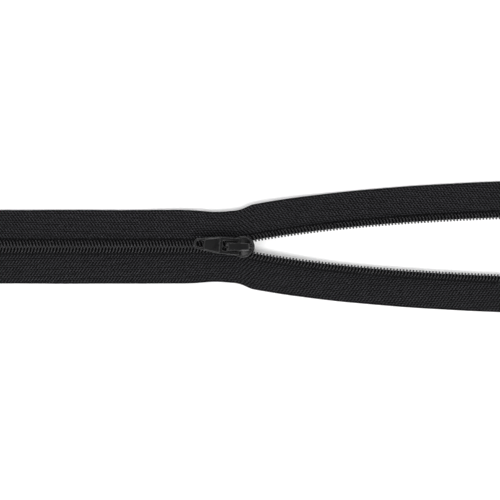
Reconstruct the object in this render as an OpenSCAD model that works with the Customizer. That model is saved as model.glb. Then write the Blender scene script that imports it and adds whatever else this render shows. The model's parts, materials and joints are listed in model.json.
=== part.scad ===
// Closed-end nylon coil zipper, part open, with an auto-lock slider.
// Millimetres. +X points to the opening end, +Z up, and the zipper lies flat on z = 0.
// Across the zipper, v is the distance from the line where one side's coil meets the other.

/* [Chain] */
// Length between the bottom stop and the top stops
chain_len = 200; // [140:10:260]
// Length of bare tape past the stops at each end
tail_len = 22; // [12:1:40]
// Width of each tape's outer edge from the meeting line
tape_out = 12.33; // [10:0.1:16]
// Distance of each tape's inner edge from the meeting line
tape_in = 0.85; // [0.7:0.05:1]
// Thickness of the tape
tape_t = 0.5; // [0.45:0.05:0.55]
// Distance from one turn of a coil to the next
coil_pitch = 1.083; // [1:0.01:1.3]
// Height of a coil above its tape
coil_h = 1.3; // [1.2:0.05:1.3]
// Distance of a coil's outer edge from the meeting line
coil_out = 2.15; // [2:0.05:2.2]
// How far a coil's heads reach past the meeting line
head_reach = 0.4; // [0.3:0.05:0.45]

/* [Opening] */
// Place of the slider's nose along the zipper
nose_x = 2; // [-60:1:60]
// Sideways shift that each tape nears far ahead of the slider
spread = 11.6; // [9:0.1:13]
// Length along which the tapes spread
spread_len = 53.5; // [45:0.5:70]
// Distance behind the nose at which the curve of the opening is zero
spread_lead = 9.5; // [9:0.1:10]
// Height by which the slider's lower wing lifts the chain
lift_h = 0.88; // [0.86:0.01:0.9]
// Length along which the chain comes down again on each side of the slider
lift_len = 35; // [20:1:40]

/* [Slider] */
// Length of the slider's upper wing
slider_len = 9.1; // [8.6:0.1:9.6]
// Radius of the slider's nose
nose_r = 3.55; // [3.5:0.05:3.7]
// Half of the slider's width at its rear
rear_half = 2.7; // [2.65:0.05:2.9]
// Thickness of the lower wing
lower_t = 0.8; // [0.7:0.05:0.8]
// How far the lower wing's nose reaches past the upper wing's
lower_extra = 0.45; // [0.2:0.05:0.6]
// Height of the upper wing's underside
upper_z = 2.75; // [2.75:0.01:2.8]
// Height of the upper wing's top
upper_top = 3.25; // [3.2:0.05:3.25]
// Width of the cap over the slider's bridge
cap_w = 2.5; // [2.3:0.1:2.6]
// Height of the cap's top
cap_top = 5.6; // [5.6:0.05:6]

/* [Pull] */
// Length of the pull from its crossbar's axis to its tip
pull_len = 14.9; // [12:0.1:25]
// Thickness of the pull
pull_t = 0.84; // [0.8:0.02:0.9]
// Width of the pull at its fork
pull_w = 5.5; // [5.3:0.1:6]
// Width of the pull at its tip
tip_w = 3.5; // [3.3:0.1:4]
// Angle by which the pull lies askew, to the left
pull_yaw = 4.6; // [0:0.1:5]
// Angle by which the pull's tip hangs below its crossbar
pull_droop = 3.5; // [2:0.5:3.5]

/* [Hidden] */
LEFT = 1;
RIGHT = -1;
ROUND = 64;
eps = 0.01;

half_len = chain_len / 2 + tail_len;
stop_x = chain_len / 2;
coil_top = tape_t + coil_h;

// The chain in the slider: onset of the opening behind the nose, and the narrowing behind the slider
onset = 6.5;
waist_share = 0.052;
waist_at = 12.5;
waist_len = 6.1;
slider_mid = nose_x - slider_len / 2;
lift_flat = 5.5;

// Coil, cord and threads
tooth_w = 0.46;
spine_v = 0.45;
cord_v = [0.6, 1.45];
cord_z = [0.95, 1.4];
inner_thread_v = [0.97, 1.13];
outer_thread_v = [1.67, 1.83];
thread_z = [coil_top - 0.16, coil_top];
looper_v = [1.05, 1.75];
looper_z = [0, 0.12];
fit = 0.03;

// Stops
stop_len = 1.8;
looper_x = stop_x - stop_len - 0.1;
stop_t = 0.3;
clip_v = [-0.8, 2.35];
prong_z = 0.25;
staple_half = 2.65;
staple_in = 2.25;
prong_in = 0.95;

// Slider, measured from its nose
slot_z = 1.5;
channel_gap = 0.1;
wedge_gap = 0.12;
wedge_x = -3.2;
rim_w = 0.35;
rim_top = 3.5;
rim_end = -4.15;
shoulder_w = 0.3;
cheek_r = 1.15;
cheek_z = [3.1, 3.48];
foot_half = 1.3;
foot_top = 3.6;
slope_x = [-10, -7];
slope_z = 2.84;
slope_from = 1.35;
slope_w = 3.5;
pit_at = [-1.05, 0.85];
pit_r = [0.08, 0.55];
pit_floor = 2.8;
bar_x = -4.9;
bar_z = 3.95;
bar_gap = 0.13;
wall_t = 0.5;
roof_t = 0.35;
cap_front = -1.25;
slot_len = 0.8;
slot_half = 0.45;
notch_x = [-7.45, -6.25];
notch_len = 0.35;
notch_depth = 0.25;
post_half = 0.65;
front_post_x = [-3, -1.8];
front_post_top = 4.05;
rear_post_x = [0.55 - slider_len, 1 - slider_len];
rear_post_top = 4.4;
pivot_x = -2.2;
pivot_z = 4.35;
pivot_r = 0.33;
pawl_x = [-7.75, -7.1];
pawl_hole_x = [-8, -6.8];
pawl_half = 0.35;
pawl_tip = 2.8;
lever_z = [4.45, 4.8];
lever_half = 0.55;
spring_x = -6.25;
spring_reach = 1.75;
spring_half = 0.45;
spring_t = 0.1;

// Pull, measured from its crossbar's axis towards the tip
window_len = 5.45;
window_w = 3.5;
eye_len = 2.75;
eye_w = 2.4;
eye_edge = 0.5;
fork_len = 6.9;
nose_len = 1.5;
panel_from = 6.35;
edge_w = 0.4;
rim_h = 0.15;

function ramp(t) = let (c = max(0, min(1, t))) c * c * (3 - 2 * c);
function flip(list) = [for (i = [len(list) - 1 : -1 : 0]) list[i]];
function both_sides(edge) = concat(edge, [for (p = flip(edge)) [p[0], -p[1]]]);

// Sideways shift of each side's meeting line at a distance ahead of the nose
function opening(ahead) =
    ahead <= -onset ? 0
    : spread * (1 - exp(-(ahead + spread_lead) / spread_len)) * ramp((ahead + onset) / onset);
function narrowing(ahead) = 1 - waist_share * exp(-pow((ahead + waist_at) / waist_len, 2));
function across(x, v) = opening(x - nose_x) + v * narrowing(x - nose_x);

// Height of the chain's underside, held up over the slider's lower wing
function lift(x) =
    let (t = (abs(x - slider_mid) - lift_flat) / lift_len)
    lift_h * (t <= 0 ? 1 : t >= 1 ? 0 : (1 + cos(180 * t)) / 2);

// Places along the zipper, close together at the slider and wider apart towards the ends
function station(i) = slider_mid + i * (1 + 0.03 * abs(i));
function stations(x) = [
    x[0],
    for (i = [-70 : 70]) if (station(i) > x[0] + 0.3 && station(i) < x[1] - 0.3) station(i),
    x[1]
];
lift_places = [for (side = [-1, 1], k = [0 : 7]) let (i = side < 0 ? 7 - k : k)
    slider_mid + side * (lift_flat + lift_len * i / 7)];

// Long band of the chain seen from above, between two distances v
module band_plan(side, v, x) {
    inner = [for (p = stations(x)) [p, side * across(p, v[0])]];
    outer = [for (p = stations(x)) [p, side * across(p, v[1])]];
    polygon(concat(inner, flip(outer)));
}

// The same band seen from the side, rising over the slider's lower wing
module band_profile(z, x) {
    places = concat([x[0]], [for (p = lift_places) if (p > x[0] && p < x[1]) p], [x[1]]);
    low = [for (p = places) [p, z[0] + lift(p)]];
    high = [for (p = places) [p, z[1] + lift(p)]];
    rotate([90, 0, 0])
        linear_extrude(height = 60, center = true) polygon(concat(low, flip(high)));
}

module band(side, v, z, x) {
    intersection() {
        linear_extrude(height = 8) band_plan(side, v, x);
        band_profile(z, x);
    }
}

// Coil seen from above: a spine with one head for each turn, which meshes with the other side's
module coil_plan(side) {
    first = -stop_x + coil_pitch * (side == LEFT ? 0.5 : 1);
    turns = floor((chain_len - coil_pitch) / coil_pitch);
    heads = [for (i = [0 : turns - 1]) let (c = first + i * coil_pitch)
        for (p = [[-1, spine_v], [-1, -head_reach], [1, -head_reach], [1, spine_v]])
            let (x = c + p[0] * tooth_w / 2) [x, side * across(x, p[1])]];
    ends = [-stop_x, stop_x];
    outer = [for (p = stations(ends)) [p, side * across(p, coil_out)]];
    start = [-stop_x, side * across(-stop_x, spine_v)];
    end = [stop_x, side * across(stop_x, spine_v)];
    polygon(concat([start], heads, [end], flip(outer)));
}

module coil(side) {
    ends = [-stop_x, stop_x];
    past = [-stop_x - 1, stop_x + 1];
    color("#1b1c1f") difference() {
        intersection() {
            linear_extrude(height = 8) coil_plan(side);
            band_profile([tape_t, coil_top], ends);
        }
        band(side, [cord_v[0] - fit, cord_v[1] + fit], [cord_z[0] - fit, cord_z[1] + fit], past);
        for (v = [inner_thread_v, outer_thread_v])
            band(side, [v[0] - fit, v[1] + fit], [thread_z[0] - fit, thread_z[1] + 1], past);
    }
}

module core_cord(side) {
    color("#232427") band(side, cord_v, cord_z, [-stop_x, stop_x]);
}

module needle_thread(side, v) {
    color("#101114") band(side, v, thread_z, [-stop_x, stop_x]);
}

module looper_thread(side) {
    color("#101114") band(side, looper_v, looper_z, [-looper_x, looper_x]);
}

// Tape, with a groove below for the looper thread and room for the stops that are pressed into it
module tape(side) {
    groove = [-looper_x - fit, looper_x + fit];
    color("#18191c") difference() {
        band(side, [tape_in, tape_out], [0, tape_t], [-half_len, half_len]);
        band(side, [looper_v[0] - fit, looper_v[1] + fit], [-1, looper_z[1] + fit], groove);
        at_top_stop(side) clip_room();
        staple_room();
    }
}

// Place of a top stop: on the coil's end, turned with the tape's slant there
module at_top_stop(side) {
    x = stop_x - stop_len / 2;
    slant = atan((opening(x + 1 - nose_x) - opening(x - 1 - nose_x)) / 2);
    translate([x, side * opening(x - nose_x), 0])
        rotate([0, 0, side * slant]) scale_side(side) children();
}

module scale_side(side) {
    if (side == LEFT) children();
    else mirror([0, 1, 0]) children();
}

module clip_room() {
    translate([-stop_len / 2 - fit, clip_v[0], -1])
        cube([stop_len + 2 * fit, clip_v[1] - clip_v[0] + fit, 1 + prong_z + fit]);
}

// Top stop: a metal clip closed over the coil's end, open on the tape's side
module top_stop(side) {
    web_in = -head_reach - 0.06;
    color("#2c2d30") at_top_stop(side) difference() {
        translate([-stop_len / 2, clip_v[0], 0])
            cube([stop_len, clip_v[1] - clip_v[0], coil_top + 0.06 + stop_t]);
        translate([-stop_len, web_in, prong_z]) cube([2 * stop_len, 4, coil_top + 0.06 - prong_z]);
    }
}

module staple_room() {
    x = -stop_x;
    translate([x - fit, -staple_half - fit, -1])
        cube([stop_len + 2 * fit, 2 * (staple_half + fit), 1 + prong_z + fit]);
    for (side = [LEFT, RIGHT])
        translate([x - fit, side * (staple_in + staple_half) / 2 - 0.25, -1])
            cube([stop_len + 2 * fit, 0.5, 3]);
}

// Bottom stop: a metal staple over both coils, its legs through the tapes and its prongs below
module bottom_stop() {
    top = coil_top + 0.06;
    color("#2c2d30") translate([-stop_x, 0, 0]) difference() {
        translate([0, -staple_half, 0]) cube([stop_len, 2 * staple_half, top + stop_t]);
        translate([-1, -staple_in, prong_z]) cube([stop_len + 2, 2 * staple_in, top - prong_z]);
        translate([-1, -prong_in, -1]) cube([stop_len + 2, 2 * prong_in, 1 + prong_z + eps]);
    }
}

// Half-width of the slider behind its nose circle, measured from the nose
function body_half(ahead) =
    rear_half + (nose_r - rear_half) * ramp((ahead + 7) / (7 - nose_r));

module wing_plan(extra) {
    corner = 0.5;
    edge = concat(
        [[-slider_len, rear_half - corner]],
        [for (a = [-slider_len + corner : 0.25 : -nose_r]) [a, body_half(a)]],
        [[-nose_r + extra, nose_r]]
    );
    translate([-nose_r + extra, 0]) circle(r = nose_r, $fn = ROUND);
    polygon(both_sides(edge));
}

module flange_plan() {
    channel = [for (a = [-slider_len - 1 : 0.5 : -nose_r + 1])
        [a, coil_out + channel_gap + opening(a)]];
    difference() {
        intersection() {
            wing_plan(0);
            translate([-slider_len - 1, -5]) square([slider_len + 1 - nose_r, 10]);
        }
        polygon(both_sides(channel));
    }
}

// The wedge between the wings, which parts the two coils
module wedge_plan() {
    function half(a) = opening(a) - head_reach - wedge_gap;
    edge = [for (a = [wedge_x : 0.4 : 0]) [a, half(a)]];
    intersection() {
        wing_plan(0);
        polygon(concat([[wedge_x - 0.2, 0]], both_sides(edge)));
    }
}

// Raised foot along the middle, which narrows to a tongue between the pits and ends at the nose
module foot_plan() {
    side = [[-slider_len, foot_half], [rim_end, foot_half], [rim_end + 0.25, foot_half - 0.15],
        [-1.5, foot_half - 0.2], [-1, 0.5], [-0.3, 0.42]];
    polygon(both_sides(side));
}

// Front of the upper wing, from the shoulder on, and the room inside the rim round it
module front_plan() {
    intersection() {
        wing_plan(0);
        translate([rim_end, -5]) square([5, 10]);
    }
}

module cheek_room_plan() {
    intersection() {
        translate([-nose_r, 0]) circle(r = nose_r - rim_w, $fn = ROUND);
        translate([rim_end + shoulder_w, -5]) square([5, 10]);
    }
}

// Cheeks inside the rim, which fall away from the foot on each side
module cheeks() {
    intersection() {
        translate([-nose_r, 0, cheek_z[0] - eps])
            cylinder(r1 = nose_r - rim_w, r2 = cheek_r, h = cheek_z[1] - cheek_z[0], $fn = ROUND);
        slab([0, 8]) cheek_room_plan();
    }
}

module block(x, half, z) {
    translate([x[0], -half, z[0]]) cube([x[1] - x[0], 2 * half, z[1] - z[0]]);
}

module slab(z) {
    translate([0, 0, z[0]]) linear_extrude(height = z[1] - z[0]) children();
}

module across_bar(x, z, r, width) {
    translate([x, width / 2, z]) rotate([90, 0, 0]) cylinder(r = r, h = width, $fn = ROUND);
}

// Side profile, drawn along the slider and upwards, given a width across it
module side_profile(points, half) {
    translate([0, half, 0]) rotate([90, 0, 0]) linear_extrude(height = 2 * half) polygon(points);
}

// Slopes on the wing's rear corners, which leave room for the drooping pull
module rear_slopes() {
    slope = [[slope_x[0], slope_z], [slope_x[1], upper_top], [slope_x[1], 5], [slope_x[0], 5]];
    for (side = [LEFT, RIGHT])
        translate([0, side * (slope_from + slope_w / 2), 0]) side_profile(slope, slope_w / 2);
}

// Die-cast body: both wings, the flanges, the wedge, and the posts under the cap
module slider_body() {
    saddle_r = pivot_r + 0.07;
    color("#141518") translate([nose_x, 0, 0]) difference() {
        union() {
            slab([0, lower_t]) wing_plan(0);
            slab([0, lower_t]) wing_plan(lower_extra);
            slab([lower_t - eps, upper_z + eps]) wedge_plan();
            slab([slot_z, upper_z + eps]) flange_plan();
            difference() {
                union() {
                    slab([upper_z, upper_top]) wing_plan(0);
                    slab([upper_z, rim_top]) front_plan();
                }
                slab([cheek_z[0], 8]) cheek_room_plan();
            }
            cheeks();
            slab([cheek_z[0] - eps, foot_top]) foot_plan();
            block(front_post_x, post_half, [foot_top - eps, front_post_top]);
            block(rear_post_x, post_half, [foot_top - eps, rear_post_top]);
        }
        across_bar(pivot_x, pivot_z, saddle_r, 4);
        across_bar(bar_x, bar_z, pull_t / 2 + bar_gap, 4);
        block(pawl_hole_x, pawl_half + 0.15, [2, 5]);
        for (side = [LEFT, RIGHT])
            translate([pit_at[0], side * pit_at[1], pit_floor])
                cylinder(r1 = pit_r[0], r2 = pit_r[1], h = foot_top + eps - pit_floor, $fn = ROUND);
        rear_slopes();
    }
}

// Cap seen from above: it steps in where the crossbar lies and narrows towards the nose
module cap_plan() {
    half = cap_w / 2;
    side = [[-slider_len, half], [-4.2, half], [-4, half - 0.15], [-1.9, half - 0.2],
        [cap_front, half - 0.5]];
    polygon(both_sides(side));
}

// Cap: a pressed cover over the lock, crimped along its edges, with a slot in its rear end and a
// gap on each side for the pull's crossbar
module slider_cap() {
    roof = cap_top - roof_t;
    gap = pull_t / 2 + 0.2;
    back = -slider_len;
    skin = [[back, foot_top], [back, 4.9], [back + 0.4, cap_top - 0.15], [back + 1, cap_top],
        [-4.2, cap_top], [-1.75, cap_top - 0.5], [-1.4, cap_top - 0.8], [cap_front, 4.5],
        [cap_front, foot_top]];
    inside = [[back + wall_t, foot_top - 1], [back + wall_t, 4.8], [back + 0.9, roof], [-4.3, roof],
        [-2.15, roof - 0.33], [-1.75, 4.6], [-1.7, foot_top - 1]];
    color("#18191c") translate([nose_x, 0, 0]) difference() {
        intersection() {
            side_profile(skin, cap_w / 2);
            slab([0, 8]) cap_plan();
        }
        side_profile(inside, cap_w / 2 - wall_t);
        across_bar(bar_x, bar_z, gap, 4);
        block([bar_x - gap, bar_x + gap], 2, [foot_top - 1, bar_z]);
        block([back - 0.1, back + slot_len], slot_half, [rear_post_top + 0.05, 8]);
        for (x = notch_x, side = [LEFT, RIGHT])
            translate([0, side * cap_w / 2, 0])
                block([x - notch_len / 2, x + notch_len / 2], notch_depth, [cap_top - 0.5, 8]);
    }
}

// Lock lever: it turns on a round end, and its pawl reaches down between the coil's turns
module lock_pawl() {
    color("#8d8f93") translate([nose_x, 0, 0]) union() {
        across_bar(pivot_x, pivot_z, pivot_r, 2 * lever_half);
        block([pawl_x[0], pivot_x], lever_half, lever_z);
        block(pawl_x, pawl_half, [pawl_tip, lever_z[0] + eps]);
    }
}

// Leaf spring, bowed between the cap's roof and the lever
module lock_spring() {
    top = cap_top - roof_t - 0.02;
    low = lever_z[1] + 0.03;
    rise = top - low - spring_t;
    bow = [for (i = [0 : 8]) let (t = i / 4 - 1)
        [spring_x + spring_reach * t, low + spring_t + rise * t * t]];
    color("#9a9ca0") translate([nose_x, 0, 0])
        side_profile(concat(bow, [for (p = flip(bow)) [p[0], p[1] - spring_t]]), spring_half);
}

// Half-width of the pull at a distance from its crossbar
function pull_half(d) =
    let (wide = pull_w / 2, narrow = tip_w / 2, nose = pull_len - nose_len)
    let (side = d < fork_len ? wide : wide - (wide - narrow) * (d - fork_len) / (nose - fork_len))
    d < nose ? side : narrow * sqrt(max(0, 1 - pow((d - nose) / nose_len, 2.4)));

module pull_plan() {
    places = concat(
        [0, fork_len],
        [for (k = [0 : 8]) pull_len - nose_len * (1 - sin(90 * k / 8))]
    );
    edge = [for (d = places) [-d, pull_half(d)]];
    polygon(both_sides(edge));
}

// Eye at the tip: a half-round with a flat side towards the crossbar
module eye_plan() {
    r = eye_w / 2;
    corner = 0.4;
    c = pull_len - eye_edge - r;
    flat = pull_len - eye_edge - eye_len;
    translate([-c, 0]) circle(r = r, $fn = ROUND);
    translate([-c, -r]) square([c - flat - corner, 2 * r]);
    translate([-c, -r + corner]) square([c - flat, 2 * (r - corner)]);
    for (y = [-1, 1])
        translate([-flat - corner, y * (r - corner)]) circle(r = corner, $fn = ROUND);
}

// Window in the fork, which lies round the cap
module window_plan() {
    half = window_w / 2;
    corner = 0.6;
    translate([-window_len + corner, -half]) square([window_len - corner, 2 * half]);
    translate([-window_len, -half + corner]) square([window_len, 2 * (half - corner)]);
    for (y = [-1, 1])
        translate([-window_len + corner, y * (half - corner)]) circle(r = corner, $fn = ROUND);
}

// Sunk panel between the eye and the window, inside a raised edge
module panel_plan() {
    far = pull_len - eye_edge - eye_len - edge_w;
    polygon(both_sides([for (d = [panel_from, fork_len, far]) [-d, pull_half(d) - edge_w]]));
}

// Pull: a forked plate with a sunk panel, its fork joined by a round crossbar
module pull_tab() {
    r = pull_t / 2;
    color("#17181b") translate([nose_x + bar_x, 0, bar_z]) rotate([0, 0, -pull_yaw])
        rotate([0, -pull_droop, 0]) union() {
            difference() {
                slab([-r, r]) pull_plan();
                slab([-1, 1]) eye_plan();
                slab([-1, 1]) window_plan();
                slab([r - rim_h, 1]) panel_plan();
            }
            across_bar(0, 0, r, pull_w);
        }
}

tape(LEFT);  // left_tape
tape(RIGHT);  // right_tape
coil(LEFT);  // left_coil
coil(RIGHT);  // right_coil
core_cord(LEFT);  // left_core_cord
core_cord(RIGHT);  // right_core_cord
needle_thread(LEFT, inner_thread_v);  // left_inner_needle_thread
needle_thread(RIGHT, inner_thread_v);  // right_inner_needle_thread
needle_thread(LEFT, outer_thread_v);  // left_outer_needle_thread
needle_thread(RIGHT, outer_thread_v);  // right_outer_needle_thread
looper_thread(LEFT);  // left_looper_thread
looper_thread(RIGHT);  // right_looper_thread
top_stop(LEFT);  // left_top_stop
top_stop(RIGHT);  // right_top_stop
bottom_stop();
slider_body();
slider_cap();
lock_spring();
lock_pawl();
pull_tab();
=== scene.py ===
"""Black coil zipper, part open, seen from straight above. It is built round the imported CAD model."""

import json
import math

import bmesh
import bpy
import numpy as np
from mathutils import Matrix, Vector, noise

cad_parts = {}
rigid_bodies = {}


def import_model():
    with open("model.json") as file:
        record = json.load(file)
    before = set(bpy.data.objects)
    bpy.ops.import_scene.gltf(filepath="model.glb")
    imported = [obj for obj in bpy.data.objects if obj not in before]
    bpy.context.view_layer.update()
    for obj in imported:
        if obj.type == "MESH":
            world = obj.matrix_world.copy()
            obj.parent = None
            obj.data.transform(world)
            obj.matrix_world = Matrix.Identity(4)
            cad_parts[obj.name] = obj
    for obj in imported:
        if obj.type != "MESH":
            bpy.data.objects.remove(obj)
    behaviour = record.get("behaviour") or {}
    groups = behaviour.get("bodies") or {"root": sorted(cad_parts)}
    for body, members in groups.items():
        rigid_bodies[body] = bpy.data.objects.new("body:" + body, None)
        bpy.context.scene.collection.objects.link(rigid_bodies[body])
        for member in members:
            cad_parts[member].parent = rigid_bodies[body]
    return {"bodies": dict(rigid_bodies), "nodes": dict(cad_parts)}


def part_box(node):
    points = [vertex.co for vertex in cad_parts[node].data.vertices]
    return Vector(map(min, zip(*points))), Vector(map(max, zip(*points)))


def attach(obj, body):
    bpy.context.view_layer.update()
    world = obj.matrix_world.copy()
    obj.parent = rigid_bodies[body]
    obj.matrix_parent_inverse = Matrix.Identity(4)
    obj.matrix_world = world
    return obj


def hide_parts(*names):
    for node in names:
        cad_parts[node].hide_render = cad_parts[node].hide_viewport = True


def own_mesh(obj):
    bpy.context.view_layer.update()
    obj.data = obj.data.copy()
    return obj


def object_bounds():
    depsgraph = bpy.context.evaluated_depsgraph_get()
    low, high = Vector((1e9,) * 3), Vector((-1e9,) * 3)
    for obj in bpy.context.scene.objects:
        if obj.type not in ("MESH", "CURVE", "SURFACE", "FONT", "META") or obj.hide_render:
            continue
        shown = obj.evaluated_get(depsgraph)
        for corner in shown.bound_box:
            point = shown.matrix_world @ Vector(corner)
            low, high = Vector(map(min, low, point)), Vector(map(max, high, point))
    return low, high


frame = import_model()
cad_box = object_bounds()

# Lengths below are in millimetres, and MM turns them into metres.
MM = 0.001
SIDES = {"left": 1, "right": -1}

# Chain: across it, v is the distance from the line where the two coils meet. ROW_STEP is the part of
# a float by which each row's slant moves on. PLAIN_FADE is how wide each plain band's soft border is.
# COIL_SPARE is the length without turns, and HEEL_STEP is the share by which the wire moves faster
# along X at its heel, and slower at its head.
HALF_LENGTH = cad_box[1].x / MM
STOP_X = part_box("left_coil")[1].x / MM
TAPE_V = (0.85, 12.33)
TAPE_T = 0.5
ROW = 0.6
ROW_STEP = 0.41
FLOAT_LEN = 1.05
RELIEF = 0.07
PLAIN_V = (2.9, 11.75)
PLAIN_FADE = (0.4, 0.3)
SEALED_LEN = 1.4
UNDER_COIL_V = 2.25
OUTER_EDGE_V = 12.1
GROOVE_V = (0.98, 1.82)
GROOVE_DEPTH = 0.11
PITCH = 1.083
FIRST_TURN = 0.35
COIL_SPARE = 1.2
HEEL_STEP = 0.75
COIL_MID_V = 0.875
COIL_REACH_V = 1.025
COIL_MID_Z = 1.15
COIL_REACH_Z = 0.42
WIRE_R = 0.21
LEG_LEAN = 0.12
CORD_V = 0.95
CORD_R = 0.75
CORD_FLAT = 0.25
THREADS = {"inner_needle_thread": 1.05, "outer_needle_thread": 1.75}
THREAD_R = 0.06
LOOPER_V = 1.4

# Stops: pressed from strip, both kinds with the same height and length
STOP_LEN = 1.8
STOP_TOP = 2.16
STOP_ROOF = 1.86
STOP_PRONG = 0.25
STOP_ROUND = 0.3

# Slider pieces: enamel starts to look worn, and is painted lighter as a painted highlight, where a point
# stands EDGE_FROM of a voxel proud of its neighbours, and looks fully so EDGE_RANGE further on
EDGE_FROM = 0.02
EDGE_RANGE = 0.06

# Opening: how the slider parts and lifts the chain, as in the CAD model
LOWER_EXTRA = 0.45
SLIDER_LEN = 9.1
NOSE_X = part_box("slider_body")[1].x / MM - LOWER_EXTRA
SPREAD = 11.6
SPREAD_LEN = 53.5
SPREAD_LEAD = 9.5
ONSET = 6.5
WAIST_SHARE = 0.052
WAIST_AT = 12.5
WAIST_LEN = 6.1
LIFT_H = 0.88
LIFT_FLAT = 5.5
LIFT_LEN = 35


# ---------------------------------------------------------------- formulas in node trees

class Field:
    """A number at every point of a surface, worked out by Math nodes in a node tree."""

    def __init__(self, tree, socket):
        self.tree = tree
        self.socket = socket

    def run(self, operation, *others):
        node = self.tree.nodes.new("ShaderNodeMath")
        node.operation = operation
        for entry, value in zip(node.inputs, (self, *others)):
            if isinstance(value, Field):
                self.tree.links.new(value.socket, entry)
            else:
                entry.default_value = value
        return Field(self.tree, node.outputs[0])

    def __add__(self, other):
        return self.run("ADD", other)

    def __sub__(self, other):
        return self.run("SUBTRACT", other)

    def __mul__(self, other):
        return self.run("MULTIPLY", other)

    def __truediv__(self, other):
        return self.run("DIVIDE", other)

    def limited(self, low=0.0, high=1.0):
        return self.run("MAXIMUM", low).run("MINIMUM", high)

    def smooth(self):
        """0 to 1 with soft ends, as the field goes from 0 to 1."""
        t = self.limited()
        return t * t * (t * -2 + 3)

    def wave(self):
        """0 to 1 and back, once for each whole number that the field passes."""
        return (self * (2 * math.pi)).run("COSINE") * -0.5 + 0.5

    def floor(self):
        return self.run("FLOOR")

    def sine(self):
        return self.run("SINE")


def wave(t):
    """The same wave for plain numbers."""
    return 0.5 - 0.5 * np.cos(2 * math.pi * t)


def twill(along, across, floor, sine, wave):
    """The weave's pits from 0 to 1, between floats of yarn. They slant, and each row carries
    the slant on."""
    row = floor(across / ROW)
    phase = along / FLOAT_LEN + across / ROW * ROW_STEP + sine(along * 0.23 + row * 1.9) * 0.1
    return wave(phase) * wave(across / ROW)


def opening(ahead):
    """Sideways shift of each half of the chain, at a distance ahead of the slider's nose."""
    shift = ((ahead + SPREAD_LEAD) * (-1 / SPREAD_LEN)).run("EXPONENT") * -SPREAD + SPREAD
    return shift * ((ahead + ONSET) / ONSET).smooth()


def chain_bend():
    """Geometry group that parts and lifts a straight piece of the chain wherever the slider is."""
    group = bpy.data.node_groups.new("chain_bend", "GeometryNodeTree")
    group.interface.new_socket("Geometry", in_out="INPUT", socket_type="NodeSocketGeometry")
    group.interface.new_socket("Slider", in_out="INPUT", socket_type="NodeSocketObject")
    group.interface.new_socket("Side", in_out="INPUT", socket_type="NodeSocketFloat")
    group.interface.new_socket("Lean", in_out="INPUT", socket_type="NodeSocketFloat")
    group.interface.new_socket("Geometry", in_out="OUTPUT", socket_type="NodeSocketGeometry")
    start = group.nodes.new("NodeGroupInput")
    end = group.nodes.new("NodeGroupOutput")
    slider = group.nodes.new("GeometryNodeObjectInfo")
    slider.transform_space = "RELATIVE"
    group.links.new(start.outputs["Slider"], slider.inputs["Object"])
    slider_place = group.nodes.new("ShaderNodeSeparateXYZ")
    group.links.new(slider.outputs["Location"], slider_place.inputs[0])
    place = group.nodes.new("GeometryNodeInputPosition")
    parts = group.nodes.new("ShaderNodeSeparateXYZ")
    group.links.new(place.outputs[0], parts.inputs[0])

    side = Field(group, start.outputs["Side"])
    lean = Field(group, start.outputs["Lean"])
    x = Field(group, parts.outputs[0]) / MM
    v = Field(group, parts.outputs[1]) / MM * side
    z = Field(group, parts.outputs[2]) / MM
    travel = Field(group, slider_place.outputs[0]) / MM
    ahead = x - travel - NOSE_X
    slope = opening(ahead + 0.5) - opening(ahead - 0.5)
    waist = (ahead + WAIST_AT) / WAIST_LEN
    narrow = (waist * waist * -1).run("EXPONENT") * -WAIST_SHARE + 1
    from_mid = (ahead + SLIDER_LEN / 2).run("ABSOLUTE")
    fall = ((from_mid - LIFT_FLAT) / LIFT_LEN).limited()
    lift = ((fall * math.pi).run("COSINE") + 1) * (LIFT_H / 2)

    moved = group.nodes.new("ShaderNodeCombineXYZ")
    new_place = (x - v * slope * lean, side * (opening(ahead) + v * narrow), z + lift)
    for field, entry in zip(new_place, moved.inputs):
        group.links.new((field * MM).socket, entry)
    setter = group.nodes.new("GeometryNodeSetPosition")
    group.links.new(start.outputs["Geometry"], setter.inputs["Geometry"])
    group.links.new(moved.outputs[0], setter.inputs["Position"])
    group.links.new(setter.outputs[0], end.inputs["Geometry"])
    return group


CHAIN_BEND = chain_bend()


def bend_with_chain(piece, side, lean):
    """Makes a straight piece of the chain follow the slider. Lean 1 keeps it square to its own half."""
    modifier = piece.modifiers.new("chain_bend", "NODES")
    modifier.node_group = CHAIN_BEND
    values = {"Slider": frame["bodies"]["slider"], "Side": float(side), "Lean": float(lean)}
    for item in CHAIN_BEND.interface.items_tree:
        if item.in_out == "INPUT" and item.name in values:
            modifier[item.identifier] = values[item.name]


# ---------------------------------------------------------------- mesh helpers

def new_piece(name, points, faces, material, lay=None):
    """A smooth mesh from points in millimetres. lay holds each point's own place on the material."""
    mesh = bpy.data.meshes.new(name)
    mesh.from_pydata((np.asarray(points) * MM).tolist(), [], faces)
    shell = bmesh.new()
    shell.from_mesh(mesh)
    bmesh.ops.recalc_face_normals(shell, faces=shell.faces)
    shell.to_mesh(mesh)
    shell.free()
    if lay is not None:
        attribute = mesh.attributes.new("lay", "FLOAT_VECTOR", "POINT")
        attribute.data.foreach_set("vector", np.asarray(lay, np.float32).ravel())
    mesh.polygons.foreach_set("use_smooth", [True] * len(mesh.polygons))
    mesh.validate()
    mesh.update()
    piece = bpy.data.objects.new(name, mesh)
    bpy.context.scene.collection.objects.link(piece)
    mesh.materials.append(material)
    return piece


def skin(rings, around):
    """Quads that join rings of points into a closed tube, with a cap at each end."""
    i, j = np.meshgrid(np.arange(rings - 1), np.arange(around), indexing="ij")
    k = (j + 1) % around
    low, high = i * around, (i + 1) * around
    quads = np.stack([low + j, low + k, high + k, high + j], -1).reshape(-1, 4)
    first = list(range(around))[::-1]
    last = [(rings - 1) * around + n for n in range(around)]
    return quads.tolist() + [first, last]


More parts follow.
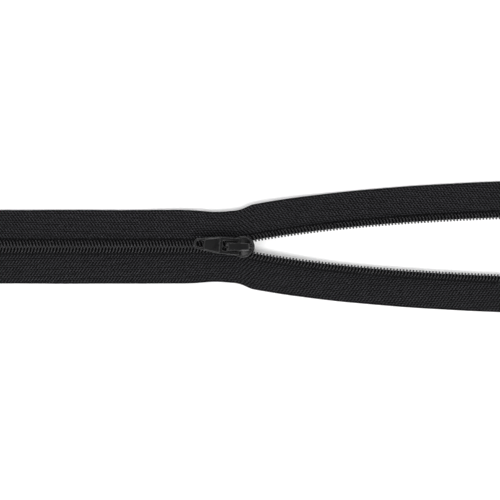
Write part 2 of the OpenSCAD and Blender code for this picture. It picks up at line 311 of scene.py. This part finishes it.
def tube(path, radius, around, flat):
    """Points of a tube along a path that nowhere runs along X. radius and flat may vary along it."""
    path = np.asarray(path, float)
    along = np.gradient(path, axis=0)
    along /= np.linalg.norm(along, axis=1, keepdims=True)
    up = np.zeros_like(along)
    up[:, 0] = 1
    first = up - (up * along).sum(1, keepdims=True) * along
    first /= np.linalg.norm(first, axis=1, keepdims=True)
    second = np.cross(along, first)
    return ring_points(path, first, second, radius, around, flat)


def ring_points(path, first, second, radius, around, flat, twist=None):
    """Rings of points round a path, in the plane of two directions. twist is the number of strands,
    their turn at each ring, and the depth between them."""
    angle = np.linspace(0, 2 * math.pi, around, endpoint=False)[None, :]
    r = np.broadcast_to(np.asarray(radius, float).reshape(-1, 1), (len(path), around))
    if twist is not None:
        strands, turn, depth = twist
        r = r * (1 - depth * (0.5 - 0.5 * np.cos(strands * (angle - turn[:, None]))))
    a, b = r * np.cos(angle), r * np.sin(angle) * np.reshape(flat, (-1, 1))
    return (path[:, None] + a[..., None] * first[:, None] + b[..., None] * second[:, None]).reshape(-1, 3)


def level_tube(path, radius, around, flat=1.0, twist=None):
    """Points of a tube along a path that runs mostly along X: its rings stay level."""
    path = np.asarray(path, float)
    first = np.tile([0.0, 1.0, 0.0], (len(path), 1))
    second = np.tile([0.0, 0.0, 1.0], (len(path), 1))
    return ring_points(path, first, second, radius, around, flat, twist)


def finish_chain_piece(piece, side, lean, node):
    """Bends a piece with the chain, hangs it on the chain body and hides the CAD node it stands for."""
    bend_with_chain(piece, side, lean)
    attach(piece, "chain")
    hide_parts(node)


# ---------------------------------------------------------------- materials

def new_material(name, colour, roughness):
    """A plain Principled material, with its node tree and shader, for others to build on."""
    material = bpy.data.materials.new(name)
    material.use_nodes = True
    shader = material.node_tree.nodes["Principled BSDF"]
    shader.inputs["Base Color"].default_value = (*colour, 1)
    shader.inputs["Roughness"].default_value = roughness
    return material, material.node_tree, shader


def lay_fields(tree):
    """The material's own coordinates in millimetres: along, across and a third."""
    node = tree.nodes.new("ShaderNodeAttribute")
    node.attribute_name = "lay"
    split = tree.nodes.new("ShaderNodeSeparateXYZ")
    tree.links.new(node.outputs["Vector"], split.inputs[0])
    return node, [Field(tree, out) for out in split.outputs]


def grain(tree, scale, detail=2.0, vector=None):
    """Fine noise, from object coordinates unless a vector is given."""
    node = tree.nodes.new("ShaderNodeTexNoise")
    node.inputs["Scale"].default_value = scale
    node.inputs["Detail"].default_value = detail
    if vector is None:
        vector = tree.nodes.new("ShaderNodeTexCoord").outputs["Object"]
    tree.links.new(vector, node.inputs["Vector"])
    return Field(tree, node.outputs[0])


def stretched(tree, vector, scale):
    """The same coordinates drawn out along their first axis."""
    node = tree.nodes.new("ShaderNodeMapping")
    node.inputs["Scale"].default_value = (scale, 1.0, 1.0)
    tree.links.new(vector, node.inputs["Vector"])
    return node.outputs[0]


def blend_colours(tree, field, low, high):
    """Colour between low and high as the field goes from 0 to 1."""
    ramp = tree.nodes.new("ShaderNodeValToRGB")
    ramp.color_ramp.elements[0].color = (*low, 1)
    ramp.color_ramp.elements[1].color = (*high, 1)
    tree.links.new(field.socket, ramp.inputs[0])
    return ramp.outputs[0]


def add_bump(tree, shader, height, distance):
    """Lets a field of heights from 0 to 1 shape the surface, to a distance in millimetres."""
    bump = tree.nodes.new("ShaderNodeBump")
    bump.inputs["Distance"].default_value = distance * MM
    bump.inputs["Strength"].default_value = 1.0
    tree.links.new(height.socket, bump.inputs["Height"])
    tree.links.new(bump.outputs[0], shader.inputs["Normal"])


def tape_cloth():
    """Black twill: short floats of yarn in staggered rows, plain bands along both edges, sealed ends."""
    material, tree, shader = new_material("tape_cloth", (0.013, 0.013, 0.0145), 0.9)
    shader.inputs["Specular IOR Level"].default_value = 0.08
    node, (along, across, _) = lay_fields(tree)
    pits = twill(along, across, Field.floor, Field.sine, Field.wave)
    fine = (along / 0.26).wave() * (across / 0.3).wave()
    inner_band = ((across * -1 + PLAIN_V[0]) / PLAIN_FADE[0]).smooth()
    outer_band = ((across - PLAIN_V[1]) / PLAIN_FADE[1]).smooth()
    sealed = ((along.run("ABSOLUTE") - HALF_LENGTH + SEALED_LEN) / 0.5).smooth()
    plain = (inner_band + outer_band + sealed).limited()
    fuzz = grain(tree, 1.7, 3.0, node.outputs["Vector"])
    hairs = grain(tree, 14.0, 2.0, stretched(tree, node.outputs["Vector"], 0.45))
    height = (plain - 1) * pits + plain * 0.3 + fine * (plain * 0.2 + 0.15) + hairs * 0.35
    add_bump(tree, shader, height, 0.16)
    lines = (along / FLOAT_LEN + across / ROW * ROW_STEP + 0.2).wave()
    # Painted shade: the weave's pits are painted nearly black, as shadow between the floats of yarn.
    woven = pits * -2.1 + (lines - 0.5) * 0.8 + (fuzz - 0.5) * 1.3 + (hairs - 0.5) * 1.7 + 0.69
    band = fine * 0.1 + (fuzz - 0.5) * 0.6 + 0.24
    # Painted shade: the tape is painted darker under and beside the coil's heel, where the coil's shadow
    # falls.
    painted_coil_shade = ((across * -1 + UNDER_COIL_V) / 0.25).smooth()
    edge_line = ((across - OUTER_EDGE_V) / 0.12).smooth()
    shade = (painted_coil_shade * -0.9 + 1) * (edge_line * -0.6 + 1)
    tone = (woven + (band - woven) * plain) * shade
    shade_black = (0.0003, 0.0003, 0.0004)
    yarn_black = (0.036, 0.036, 0.0397)
    colour = blend_colours(tree, tone.limited(), shade_black, yarn_black)
    tree.links.new(colour, shader.inputs["Base Color"])
    rough = sealed * -0.45 + 0.9
    tree.links.new(rough.socket, shader.inputs["Roughness"])
    return material


def coil_nylon():
    """Drawn nylon monofilament, satin, with faint lines along it. Heads and lower legs are rougher, and
    are painted darker as painted shade.
    """
    material, tree, shader = new_material("coil_nylon", (0.031, 0.031, 0.0337), 0.36)
    shader.inputs["Specular IOR Level"].default_value = 0.35
    node, (_, _, painted_shade_and_dullness) = lay_fields(tree)
    lines = grain(tree, 3.0, 2.0, node.outputs["Vector"])
    add_bump(tree, shader, lines, 0.02)
    # Painted shade: the third lay value paints the heads and the lower legs darker.
    shade = painted_shade_and_dullness + (lines - 0.5) * 0.3
    colour = blend_colours(tree, shade, (0.031, 0.031, 0.0337), (0.0008, 0.0008, 0.0009))
    tree.links.new(colour, shader.inputs["Base Color"])
    rough = lines * 0.24 + painted_shade_and_dullness * 0.4 + 0.22
    tree.links.new(rough.socket, shader.inputs["Roughness"])
    return material


def thread(name, tone):
    """Twisted thread: two plies that wind round each other."""
    material, tree, shader = new_material(name, tone, 0.8)
    shader.inputs["Specular IOR Level"].default_value = 0.08
    node, (along, around, _) = lay_fields(tree)
    ply = (along / 0.45 + around * 2).wave()
    add_bump(tree, shader, ply + grain(tree, 9.0, 2.0, node.outputs["Vector"]) * 0.4, 0.05)
    # Painted shade and highlight: the grooves between the plies are painted darker and their crowns
    # lighter.
    low = tuple(c * 0.4 for c in tone)
    high = tuple(c * 1.6 for c in tone)
    tree.links.new(blend_colours(tree, ply, low, high), shader.inputs["Base Color"])
    return material


def enamel(name, tone, roughness):
    """Black enamel over die-cast metal: slight orange peel, lighter along the marked edges, partly as
    worn enamel and partly as a painted highlight.
    """
    material, tree, shader = new_material(name, tone, roughness)
    peel = grain(tree, 2600.0, 3.0)
    cloud = grain(tree, 420.0, 2.0)
    add_bump(tree, shader, peel + cloud * 1.5, 0.012)
    mark = tree.nodes.new("ShaderNodeAttribute")
    mark.attribute_name = "edge"
    # Partly worn enamel and partly painted highlight: marked edges are painted lighter, where rounded
    # edges would catch the lights.
    edge = (Field(tree, mark.outputs["Fac"]) * (peel * 0.8 + 0.6)).limited()
    wear_and_highlight = tuple(c * 4 + 0.05 for c in tone)
    tree.links.new(blend_colours(tree, edge, tone, wear_and_highlight), shader.inputs["Base Color"])
    rough = cloud * 0.22 + (roughness - 0.11)
    tree.links.new(rough.socket, shader.inputs["Roughness"])
    return material


def bare_metal(name, tone, roughness):
    """Plain steel with fine drawn scratches along X."""
    material, tree, shader = new_material(name, tone, roughness)
    shader.inputs["Metallic"].default_value = 1.0
    coordinates = tree.nodes.new("ShaderNodeTexCoord")
    lines = grain(tree, 9000.0, 3.0, stretched(tree, coordinates.outputs["Object"], 0.08))
    add_bump(tree, shader, lines, 0.01)
    rough = lines * 0.3 + (roughness - 0.15)
    tree.links.new(rough.socket, shader.inputs["Roughness"])
    return material


CLOTH = tape_cloth()
NYLON = coil_nylon()
# The cord is partly its own black dye and partly painted shade: it is painted far darker than the other
# black parts, so the gaps between the legs look shadowed.
CORD = thread("cord", (0.0007, 0.0007, 0.0008))
THREAD = thread("thread", (0.002, 0.002, 0.0023))
ENAMEL = enamel("slider_enamel", (0.004, 0.004, 0.0044), 0.30)
STOP_ENAMEL = enamel("stop_enamel", (0.006, 0.006, 0.0066), 0.40)
SPRING_STEEL = bare_metal("spring_steel", (0.45, 0.45, 0.47), 0.3)
PAWL_METAL = bare_metal("pawl_metal", (0.32, 0.32, 0.34), 0.4)


# ---------------------------------------------------------------- chain pieces

def tape_section():
    """Closed outline of a tape across its width: v, level from 0 (below) to 1 (on top), and how far
    the weave shapes the point."""
    inner, outer = TAPE_V
    top = [(v, 1.0, 1.0) for v in np.arange(inner + 0.15, outer - 0.1, ROW / 3)]
    below = [(v, 0.0, 1.0) for v in np.arange(outer - 0.2, inner + 0.1, -ROW / 2)]
    turn = [(0.04, 0.8), (0.0, 0.5), (0.04, 0.2)]
    outer_edge = [(outer - 0.03 - a, level, 0.0) for a, level in turn]
    inner_edge = [(inner + 0.03 + a, level, 0.0) for a, level in turn[::-1]]
    return np.array(top + outer_edge + below + inner_edge)


def cloth_wave(x, side):
    """How far the outer edge of a tape waves sideways, and how far it lifts, at a place along it."""
    slow = noise.noise(Vector((x / 17, side * 3.1, 0))) * 0.07
    quick = noise.noise(Vector((x / 2.3, side * 7.7, 4))) * 0.02
    lift = abs(noise.noise(Vector((x / 11, side * 1.3, 9)))) * 0.06
    return [slow + quick, lift]


def tape(name, side):
    """A woven tape with its floats raised, and with the slight waves that cloth keeps."""
    v, level, woven = tape_section().T
    places = np.linspace(-HALF_LENGTH, HALF_LENGTH, int(2 * HALF_LENGTH / (FLOAT_LEN / 4)))
    x, v = np.meshgrid(places, v, indexing="ij")
    pits = twill(x, v + ROW / 2 * (level < 0.5), np.floor, np.sin, wave)
    inner_band = np.clip((PLAIN_V[0] - v) / PLAIN_FADE[0], 0, 1)
    outer_band = np.clip((v - PLAIN_V[1]) / PLAIN_FADE[1], 0, 1)
    plain = inner_band + outer_band
    depth = (pits * (1 - plain) + 0.4 * plain) * RELIEF * woven
    groove = GROOVE_DEPTH * ((v > GROOVE_V[0]) & (v < GROOVE_V[1]) & (level == 0))
    z = 0.01 + level * (TAPE_T - 0.03) + depth * np.where(level < 0.5, 1, -1) + groove
    waves = np.array([cloth_wave(place, side) for place in places])
    reach = (v / TAPE_V[1]) ** 2
    points = np.stack([x, side * (v + waves[:, :1] * reach), z + waves[:, 1:] * reach], -1)
    lay = np.stack([x, v, z], -1)
    faces = skin(*x.shape)
    piece = new_piece(name + "_cloth", points.reshape(-1, 3), faces, CLOTH, lay.reshape(-1, 3))
    finish_chain_piece(piece, side, 0, name)


def coil_turns(side):
    """First turn's place and the number of turns on one side; the sides mesh half a turn apart."""
    first = -STOP_X + FIRST_TURN + (0 if side > 0 else PITCH / 2)
    return first, int((2 * STOP_X - COIL_SPARE) / PITCH)


def coil(name, side):
    """Helix of monofilament. Its upper legs run from the heel to the head and a little along +X."""
    per_turn = 26
    around = 10
    first, turns = coil_turns(side)
    phi = np.linspace(0, 2 * math.pi * turns, turns * per_turn + 1)
    x = first + PITCH / (2 * math.pi) * (phi + HEEL_STEP * np.sin(phi)) - LEG_LEAN * np.cos(phi)
    swell = np.sign(np.cos(phi)) * np.abs(np.cos(phi)) ** 0.8
    v = COIL_MID_V + COIL_REACH_V * swell
    z = COIL_MID_Z + COIL_REACH_Z * np.sign(np.sin(phi)) * np.abs(np.sin(phi)) ** 0.85
    head = (0.5 - 0.5 * np.cos(phi)) ** 3
    path = np.stack([x, side * v, z], 1)
    points = tube(path, WIRE_R * (1 + 0.28 * head), around, flat=1 / (1 + 0.34 * head))
    length = np.concatenate([[0], np.linalg.norm(np.diff(path, axis=0), axis=1).cumsum()])
    lay = np.zeros((len(path), around, 3))
    lay[..., 0] = length[:, None] * 0.15
    lay[..., 1] = np.arange(around) / around * 2
    # Painted shade: the head tips and the lower half of each turn get a value that paints them dark, as
    # shadow between the legs.
    tip_shade = np.clip((0.2 - v) / 0.25, 0, 1)
    below = np.clip(-np.sin(phi) * 2, 0, 1)
    lay[..., 2] = np.maximum(tip_shade, below)[:, None]
    piece = new_piece(name + "_wire", points, skin(len(path), around), NYLON, lay.reshape(-1, 3))
    finish_chain_piece(piece, side, 1, name)


def core_cord(name, side):
    """Soft cord inside the coil, pressed flat between its legs."""
    x = np.arange(-STOP_X + 0.05, STOP_X, 0.5)
    path = np.stack([x, np.full_like(x, side * CORD_V), np.full_like(x, COIL_MID_Z)], 1)
    around = 12
    strands = 3
    points = level_tube(path, CORD_R, around, flat=CORD_FLAT, twist=(strands, x * 1.9, 0.12))
    piece = new_piece(name + "_twist", points, skin(len(x), around), CORD, thread_lay(x, around))
    finish_chain_piece(piece, side, 1, name)


def thread_lay(x, around):
    """Each point's place on a thread's material: along the thread, and its share of the way round."""
    lay = np.zeros((len(x), around, 3))
    lay[..., 0] = np.asarray(x)[:, None]
    lay[..., 1] = np.arange(around) / around
    return lay.reshape(-1, 3)


def needle_thread(name, side, v):
    """Stitches that lie over the coil's legs and dive to the tape after every second one."""
    first, turns = coil_turns(side)
    per_turn = 10
    around = 6
    cross = math.acos((v - COIL_MID_V) / COIL_REACH_V)
    advance = PITCH / (2 * math.pi) * (cross + HEEL_STEP * math.sin(cross))
    over = first + advance - LEG_LEAN * math.cos(cross)
    turn = np.linspace(-0.5, turns - 0.5, turns * per_turn + 1)
    x = over + turn * PITCH
    dip = (0.5 - 0.5 * np.cos(2 * math.pi * turn)) ** 2
    dive = ((np.round(turn - 0.5) % 2) == 0) * 0.75 + 0.12
    z = COIL_MID_Z + COIL_REACH_Z + WIRE_R - 0.01 - dip * dive
    path = np.stack([x, side * (v + 0.05 * np.sin(math.pi * turn)), z], 1)
    points = level_tube(path, THREAD_R, around)
    piece = new_piece(name + "_stitches", points, skin(len(x), around), THREAD, thread_lay(x, around))
    finish_chain_piece(piece, side, 1, name)


def looper_thread(name, side):
    """Chain of loops on the tape's underside, a loop for every two turns of the coil."""
    around = 6
    x = np.arange(-STOP_X + 2, STOP_X - 2, 0.18)
    phase = x / PITCH * math.pi
    v = LOOPER_V + 0.33 * np.sin(phase)
    path = np.stack([x + 0.35 * np.sin(2 * phase), side * v, 0.07 + 0.02 * np.cos(2 * phase)], 1)
    points = level_tube(path, THREAD_R, around)
    piece = new_piece(name + "_loops", points, skin(len(x), around), THREAD, thread_lay(x, around))
    finish_chain_piece(piece, side, 1, name)


def rounded(corners, radius, steps=4):
    """Outline with each of its corners turned through an arc."""
    outline = []
    for i, corner in enumerate(corners):
        corner = Vector(corner)
        before, after = Vector(corners[i - 1]), Vector(corners[(i + 1) % len(corners)])
        back = before - corner
        on = after - corner
        reach = min(radius, back.length * 0.45, on.length * 0.45)
        start = corner + back.normalized() * reach
        end = corner + on.normalized() * reach
        for k in range(steps + 1):
            t = k / steps
            outline.append(start * (1 - t) ** 2 + corner * 2 * t * (1 - t) + end * t * t)
    return outline


def pressed_bar(name, outline, x, material, bevel=0.12):
    """A bar with that outline in (y, z), its ends drawn in as a pressed part's are."""
    centre = sum(outline, Vector((0, 0))) / len(outline)
    ends = [(0.0, bevel), (bevel * 0.3, bevel * 0.3), (bevel, 0.0)]
    rings = [(x[0] + a, b) for a, b in ends] + [(x[1] - a, b) for a, b in ends[::-1]]
    points = []
    for place, inset in rings:
        for i, p in enumerate(outline):
            q = Vector(outline[i - 1])
            r = Vector(outline[(i + 1) % len(outline)])
            run = r - q
            inward = Vector((-run.y, run.x)).normalized() if run.length > 1e-9 else centre - p
            p = Vector(p) + inward * inset * 0.6
            points.append((place, p.x, p.y))
    return new_piece(name, points, skin(len(rings), len(outline)), material)


def top_stop(name, side):
    """Metal clip closed over the end of a coil."""
    back = -0.8
    inner = -0.46
    reach = 2.35
    below = [(back, 0.0), (reach, 0.0), (reach, STOP_PRONG), (inner, STOP_PRONG)]
    above = [(inner, STOP_ROOF), (reach, STOP_ROOF), (reach, STOP_TOP), (back, STOP_TOP)]
    outline = rounded([(v * side, z) for v, z in below + above], STOP_ROUND)
    if side < 0:
        outline = outline[::-1]
    piece = pressed_bar(name + "_clip", outline, (STOP_X - STOP_LEN, STOP_X), STOP_ENAMEL)
    finish_chain_piece(piece, side, 1, name)


def bottom_stop():
    """Metal staple over both coils, with its prongs folded in below the tapes."""
    half = 2.65
    inner = 2.25
    prong = 0.95
    right = [(-half, 0.0), (-prong, 0.0), (-prong, STOP_PRONG), (-inner, STOP_PRONG), (-inner, STOP_ROOF)]
    left = [(-v, z) for v, z in right[::-1]]
    roof = [(half, STOP_TOP), (-half, STOP_TOP)]
    outline = rounded(right + left + roof, STOP_ROUND)
    piece = pressed_bar("bottom_stop_staple", outline, (-STOP_X, -STOP_X + STOP_LEN), STOP_ENAMEL)
    finish_chain_piece(piece, 1, 0, "bottom_stop")


# ---------------------------------------------------------------- slider pieces

def mark_edges(mesh, voxel):
    """Stores how far each point stands out from its neighbours, from 0 on a flat to 1 on an edge."""
    count = len(mesh.vertices)
    places, normals = np.zeros(count * 3), np.zeros(count * 3)
    mesh.vertices.foreach_get("co", places)
    mesh.vertices.foreach_get("normal", normals)
    places, normals = places.reshape(-1, 3), normals.reshape(-1, 3)
    ends = np.zeros(len(mesh.edges) * 2, int)
    mesh.edges.foreach_get("vertices", ends)
    a, b = ends.reshape(-1, 2).T
    degree = np.bincount(ends, minlength=count)

    def neighbours(values):
        total = np.bincount(a, values[b], count) + np.bincount(b, values[a], count)
        return total / degree

    middle = np.stack([neighbours(places[:, axis]) for axis in range(3)], 1)
    proud = ((places - middle) * normals).sum(1) / voxel
    proud = (proud + neighbours(proud)) / 2
    marks = mesh.attributes.new("edge", "FLOAT", "POINT")
    marks.data.foreach_set("value", np.clip((proud - EDGE_FROM) / EDGE_RANGE, 0, 1).astype(np.float32))


def cast_copy(node, voxel, passes, material, body):
    """Copy of a CAD node with softened edges, as casting, pressing and enamel leave them."""
    mesh = frame["nodes"][node].data.copy()
    mesh.transform(Matrix.Scale(1 / MM, 4))
    rough = bpy.data.objects.new(node + "_rough", mesh)
    bpy.context.scene.collection.objects.link(rough)
    remesh = rough.modifiers.new("grain", "REMESH")
    remesh.mode = "VOXEL"
    remesh.voxel_size = voxel
    soften = rough.modifiers.new("soften", "SMOOTH")
    soften.factor = 0.5
    soften.iterations = passes
    graph = bpy.context.evaluated_depsgraph_get()
    shape = bpy.data.meshes.new_from_object(rough.evaluated_get(graph))
    bpy.data.objects.remove(rough)
    mark_edges(shape, voxel)
    shape.transform(Matrix.Scale(MM, 4))
    shape.polygons.foreach_set("use_smooth", [True] * len(shape.polygons))
    shape.materials.clear()
    shape.materials.append(material)
    piece = bpy.data.objects.new(node + "_cast", shape)
    bpy.context.scene.collection.objects.link(piece)
    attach(piece, body)
    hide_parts(node)
    return piece


# ---------------------------------------------------------------- setting

def studio_floor():
    """Pale floor that rises into a round wall, so that every view has the same plain ground."""
    flat = 3.0
    bend = 1.2
    wall_top = 2.6
    drop = 0.00004
    profile = [(0.0, 0.0), (0.5, 0.0), (1.5, 0.0), (flat, 0.0)]
    sweep = np.linspace(0.2, 1.5, 8)
    profile += [(flat + bend * math.sin(a), bend - bend * math.cos(a)) for a in sweep]
    profile += [(flat + bend, wall_top)]
    around = 64
    points, faces = [], []
    for r, z in profile:
        for k in range(around):
            a = 2 * math.pi * k / around
            points.append((r * math.cos(a), r * math.sin(a), z - drop))
    for i in range(len(profile) - 1):
        for k in range(around):
            n = (k + 1) % around
            faces.append((i * around + k, (i + 1) * around + k, (i + 1) * around + n, i * around + n))
    mesh = bpy.data.meshes.new("studio_floor")
    mesh.from_pydata(points, [], faces)
    mesh.polygons.foreach_set("use_smooth", [True] * len(faces))
    floor = bpy.data.objects.new("studio_floor", mesh)
    bpy.context.scene.collection.objects.link(floor)
    material, _, shader = new_material("pale_floor", (0.93, 0.93, 0.93), 0.9)
    shader.inputs["Specular IOR Level"].default_value = 0.1
    shader.inputs["Emission Color"].default_value = (1, 1, 1, 1)
    shader.inputs["Emission Strength"].default_value = 0.12
    mesh.materials.append(material)


def soft_sun(name, azimuth, elevation, strength, spread):
    """Wide sun: its light is the same all over the floor, and its shadows are soft. At azimuth 0 it
    shines from the -Y side."""
    data = bpy.data.lights.new(name, "SUN")
    data.energy = strength
    data.angle = math.radians(spread)
    lamp = bpy.data.objects.new(name, data)
    lamp.rotation_euler = (math.radians(90 - elevation), 0, math.radians(azimuth))
    bpy.context.scene.collection.objects.link(lamp)


def lighting():
    """A key light, two weaker ones that soften its shadows, and a faint even glow."""
    soft_sun("key_light", 12, 46, 3.0, 38)
    soft_sun("fill_light", 195, 46, 1.0, 40)
    soft_sun("side_light", 285, 40, 1.0, 40)
    world = bpy.data.worlds.new("studio")
    world.use_nodes = True
    world.node_tree.nodes["Background"].inputs["Color"].default_value = (1, 1, 1, 1)
    world.node_tree.nodes["Background"].inputs["Strength"].default_value = 0.07
    bpy.context.scene.world = world
    bpy.context.scene.view_settings.view_transform = "Standard"


def camera():
    """Straight above, through a long lens: 166.7 mm of the zipper fill the picture's width."""
    width = 0.1667
    height = 1.5
    sensor = 36
    data = bpy.data.cameras.new("camera")
    data.sensor_width = sensor
    data.lens = sensor * height / width
    eye = bpy.data.objects.new("camera", data)
    eye.location = (0.87 * MM, -1.07 * MM, height)
    bpy.context.scene.collection.objects.link(eye)
    bpy.context.scene.camera = eye


camera()
studio_floor()
lighting()

for word, side in SIDES.items():
    tape(word + "_tape", side)
    coil(word + "_coil", side)
    core_cord(word + "_core_cord", side)
    for thread_name, v in THREADS.items():
        needle_thread(f"{word}_{thread_name}", side, v)
    looper_thread(word + "_looper_thread", side)
    top_stop(word + "_top_stop", side)
bottom_stop()

cast_copy("slider_body", 0.06, 10, ENAMEL, "slider")
cast_copy("slider_cap", 0.05, 7, ENAMEL, "slider")
leaf = cast_copy("lock_spring", 0.03, 1, SPRING_STEEL, "slider")
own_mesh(leaf)
cast_copy("lock_pawl", 0.05, 3, PAWL_METAL, "lock")
cast_copy("pull_tab", 0.06, 8, ENAMEL, "pull")
